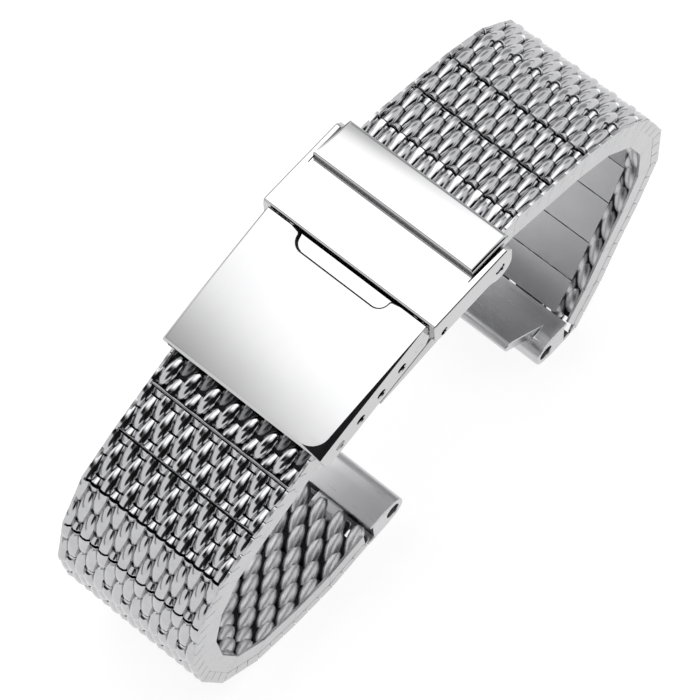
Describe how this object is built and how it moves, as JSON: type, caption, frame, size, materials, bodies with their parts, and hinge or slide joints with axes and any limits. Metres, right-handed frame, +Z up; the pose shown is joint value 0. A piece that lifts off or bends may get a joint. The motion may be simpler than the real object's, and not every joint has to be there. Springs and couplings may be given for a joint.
{
  "type": "watch bracelet",
  "caption": "Woven steel watch bracelet with removable pinned links, solid bored lug ends and a fold-over clasp with a flip lock and adjusting holes.",
  "frame": {"origin": "middle of the bounding box, on the surface that the bracelet stands on", "axes": "+X along the strap, from the lower strap's bend to the upper strap's bend; +Y across the strap, along every pin; +Z up, from the two lug ends to the clasp"},
  "size_m": [0.0802, 0.024, 0.0472],
  "materials": {
    "polished_clasp": "mirror polished",
    "stamped_clasp": "satin",
    "woven_steel": "polished woven coils",
    "lug_steel": "fine polished",
    "pin_steel": "drawn wire"
  },
  "bodies": {
    "base": {"clasp_base": "stamped_clasp", "end_block": "polished_clasp", "lock_pin": "pin_steel", "lock_studs": "pin_steel", "blade_hinge_pin": "pin_steel"},
    "blade": {"folding_blade": "stamped_clasp"},
    "cover": {"clasp_cover": "polished_clasp", "cover_hinge_pin": "pin_steel", "adjust_bar_tube": "pin_steel", "adjust_bar_tips": "pin_steel", "adjust_bar_spring": "pin_steel"},
    "lock": {"flip_lock": "polished_clasp"},
    "lower_first_link": {"lower_first_link": "woven_steel", "lower_pin_1": "pin_steel"},
    "lower_link_1": {"lower_link_1": "woven_steel", "lower_pin_2": "pin_steel"},
    "lower_link_2": {"lower_link_2": "woven_steel", "lower_pin_3": "pin_steel"},
    "lower_link_3": {"lower_link_3": "woven_steel", "lower_pin_4": "pin_steel"},
    "lower_mesh_1": {"lower_mesh_1": "woven_steel"},
    "lower_mesh_2": {"lower_mesh_2": "woven_steel"},
    "lower_mesh_3": {"lower_mesh_3": "woven_steel"},
    "lower_mesh_4": {"lower_mesh_4": "woven_steel"},
    "lower_mesh_5": {"lower_mesh_5": "woven_steel"},
    "lower_mesh_6": {"lower_mesh_6": "woven_steel"},
    "lower_mesh_7": {"lower_mesh_7": "woven_steel"},
    "lower_lug_end": {"lower_lug_end": "lug_steel"},
    "upper_first_link": {"upper_first_link": "woven_steel", "upper_pin_1": "pin_steel"},
    "upper_link_1": {"upper_link_1": "woven_steel", "upper_pin_2": "pin_steel"},
    "upper_link_2": {"upper_link_2": "woven_steel", "upper_pin_3": "pin_steel"},
    "upper_link_3": {"upper_link_3": "woven_steel", "upper_pin_4": "pin_steel"},
    "upper_mesh_1": {"upper_mesh_1": "woven_steel"},
    "upper_mesh_2": {"upper_mesh_2": "woven_steel"},
    "upper_mesh_3": {"upper_mesh_3": "woven_steel"},
    "upper_mesh_4": {"upper_mesh_4": "woven_steel"},
    "upper_mesh_5": {"upper_mesh_5": "woven_steel"},
    "upper_mesh_6": {"upper_mesh_6": "woven_steel"},
    "upper_mesh_7": {"upper_mesh_7": "woven_steel"},
    "upper_lug_end": {"upper_lug_end": "lug_steel"}
  },
  "joints": [
    {"name": "blade_fold", "type": "hinge", "parent": "base", "child": "blade", "pos_m": [-0.01427, 0, 0.03597], "axis": [0, -1, 0], "range_deg": [0, 150]},
    {"name": "cover_fold", "type": "hinge", "parent": "blade", "child": "cover", "pos_m": [-0.00426, 0, 0.04259], "axis": [0, -1, 0], "range_deg": [-150, 0]},
    {"name": "lock_flip", "type": "hinge", "parent": "base", "child": "lock", "pos_m": [0.00823, 0, 0.04365], "axis": [0, 1, 0], "range_deg": [0, 110]},
    {"name": "lower_adjust_bar_hinge", "type": "hinge", "parent": "cover", "child": "lower_first_link", "pos_m": [-0.01687, 0, 0.03868], "axis": [0, -1, 0], "range_deg": [-8, 8]},
    {"name": "lower_seam_1", "type": "hinge", "parent": "lower_first_link", "child": "lower_link_1", "pos_m": [-0.02296, 0, 0.03558], "axis": [0, -1, 0], "range_deg": [-11, 8]},
    {"name": "lower_seam_2", "type": "hinge", "parent": "lower_link_1", "child": "lower_link_2", "pos_m": [-0.02844, 0, 0.0329], "axis": [0, -1, 0], "range_deg": [-17, 8]},
    {"name": "lower_seam_3", "type": "hinge", "parent": "lower_link_2", "child": "lower_link_3", "pos_m": [-0.03367, 0, 0.02976], "axis": [0, -1, 0], "range_deg": [-39, 8]},
    {"name": "lower_seam_4", "type": "hinge", "parent": "lower_link_3", "child": "lower_mesh_1", "pos_m": [-0.0369, 0, 0.02459], "axis": [0, -1, 0], "range_deg": [-32, 8]},
    {"name": "lower_seam_5", "type": "hinge", "parent": "lower_mesh_1", "child": "lower_mesh_2", "pos_m": [-0.03817, 0, 0.01862], "axis": [0, -1, 0], "range_deg": [-33, 8]},
    {"name": "lower_seam_6", "type": "hinge", "parent": "lower_mesh_2", "child": "lower_mesh_3", "pos_m": [-0.03722, 0, 0.0126], "axis": [0, -1, 0], "range_deg": [-30, 8]},
    {"name": "lower_seam_7", "type": "hinge", "parent": "lower_mesh_3", "child": "lower_mesh_4", "pos_m": [-0.03445, 0, 0.00716], "axis": [0, -1, 0], "range_deg": [-40, 8]},
    {"name": "lower_seam_8", "type": "hinge", "parent": "lower_mesh_4", "child": "lower_mesh_5", "pos_m": [-0.02945, 0, 0.00366], "axis": [0, -1, 0], "range_deg": [-35, 8]},
    {"name": "lower_seam_9", "type": "hinge", "parent": "lower_mesh_5", "child": "lower_mesh_6", "pos_m": [-0.02348, 0, 0.00239], "axis": [0, -1, 0], "range_deg": [-20, 8]},
    {"name": "lower_seam_10", "type": "hinge", "parent": "lower_mesh_6", "child": "lower_mesh_7", "pos_m": [-0.0174, 0, 0.00197], "axis": [0, -1, 0], "range_deg": [-26, 8]},
    {"name": "lower_lug_hinge", "type": "hinge", "parent": "lower_mesh_7", "child": "lower_lug_end", "pos_m": [-0.01139, 0, 0.00303], "axis": [0, -1, 0], "range_deg": [-7, 2]},
    {"name": "upper_lock_pin_hinge", "type": "hinge", "parent": "base", "child": "upper_first_link", "pos_m": [0.00823, 0, 0.04365], "axis": [0, 1, 0], "range_deg": [-6, 8]},
    {"name": "upper_seam_1", "type": "hinge", "parent": "upper_first_link", "child": "upper_link_1", "pos_m": [0.01313, 0, 0.04374], "axis": [0, 1, 0], "range_deg": [-26, 8]},
    {"name": "upper_seam_2", "type": "hinge", "parent": "upper_link_1", "child": "upper_link_2", "pos_m": [0.01907, 0, 0.04236], "axis": [0, 1, 0], "range_deg": [-12, 8]},
    {"name": "upper_seam_3", "type": "hinge", "parent": "upper_link_2", "child": "upper_link_3", "pos_m": [0.02501, 0, 0.04099], "axis": [0, 1, 0], "range_deg": [-20, 8]},
    {"name": "upper_seam_4", "type": "hinge", "parent": "upper_link_3", "child": "upper_mesh_1", "pos_m": [0.03071, 0, 0.0388], "axis": [0, 1, 0], "range_deg": [-32, 8]},
    {"name": "upper_seam_5", "type": "hinge", "parent": "upper_mesh_1", "child": "upper_mesh_2", "pos_m": [0.03531, 0, 0.0348], "axis": [0, 1, 0], "range_deg": [-35, 8]},
    {"name": "upper_seam_6", "type": "hinge", "parent": "upper_mesh_2", "child": "upper_mesh_3", "pos_m": [0.03798, 0, 0.02932], "axis": [0, 1, 0], "range_deg": [-37, 8]},
    {"name": "upper_seam_7", "type": "hinge", "parent": "upper_mesh_3", "child": "upper_mesh_4", "pos_m": [0.03809, 0, 0.02322], "axis": [0, 1, 0], "range_deg": [-38, 8]},
    {"name": "upper_seam_8", "type": "hinge", "parent": "upper_mesh_4", "child": "upper_mesh_5", "pos_m": [0.03551, 0, 0.01769], "axis": [0, 1, 0], "range_deg": [-18, 8]},
    {"name": "upper_seam_9", "type": "hinge", "parent": "upper_mesh_5", "child": "upper_mesh_6", "pos_m": [0.03237, 0, 0.01246], "axis": [0, 1, 0], "range_deg": [-8, 8]},
    {"name": "upper_seam_10", "type": "hinge", "parent": "upper_mesh_6", "child": "upper_mesh_7", "pos_m": [0.0296, 0, 0.00703], "axis": [0, 1, 0], "range_deg": [-20, 8]},
    {"name": "upper_lug_hinge", "type": "hinge", "parent": "upper_mesh_7", "child": "upper_lug_end", "pos_m": [0.0261, 0, 0.00203], "axis": [0, 1, 0], "range_deg": [-67, 2]}
  ],
  "couplings": [
    {"joint": "cover_fold", "follows": "blade_fold", "ratio": -1}
  ]
}
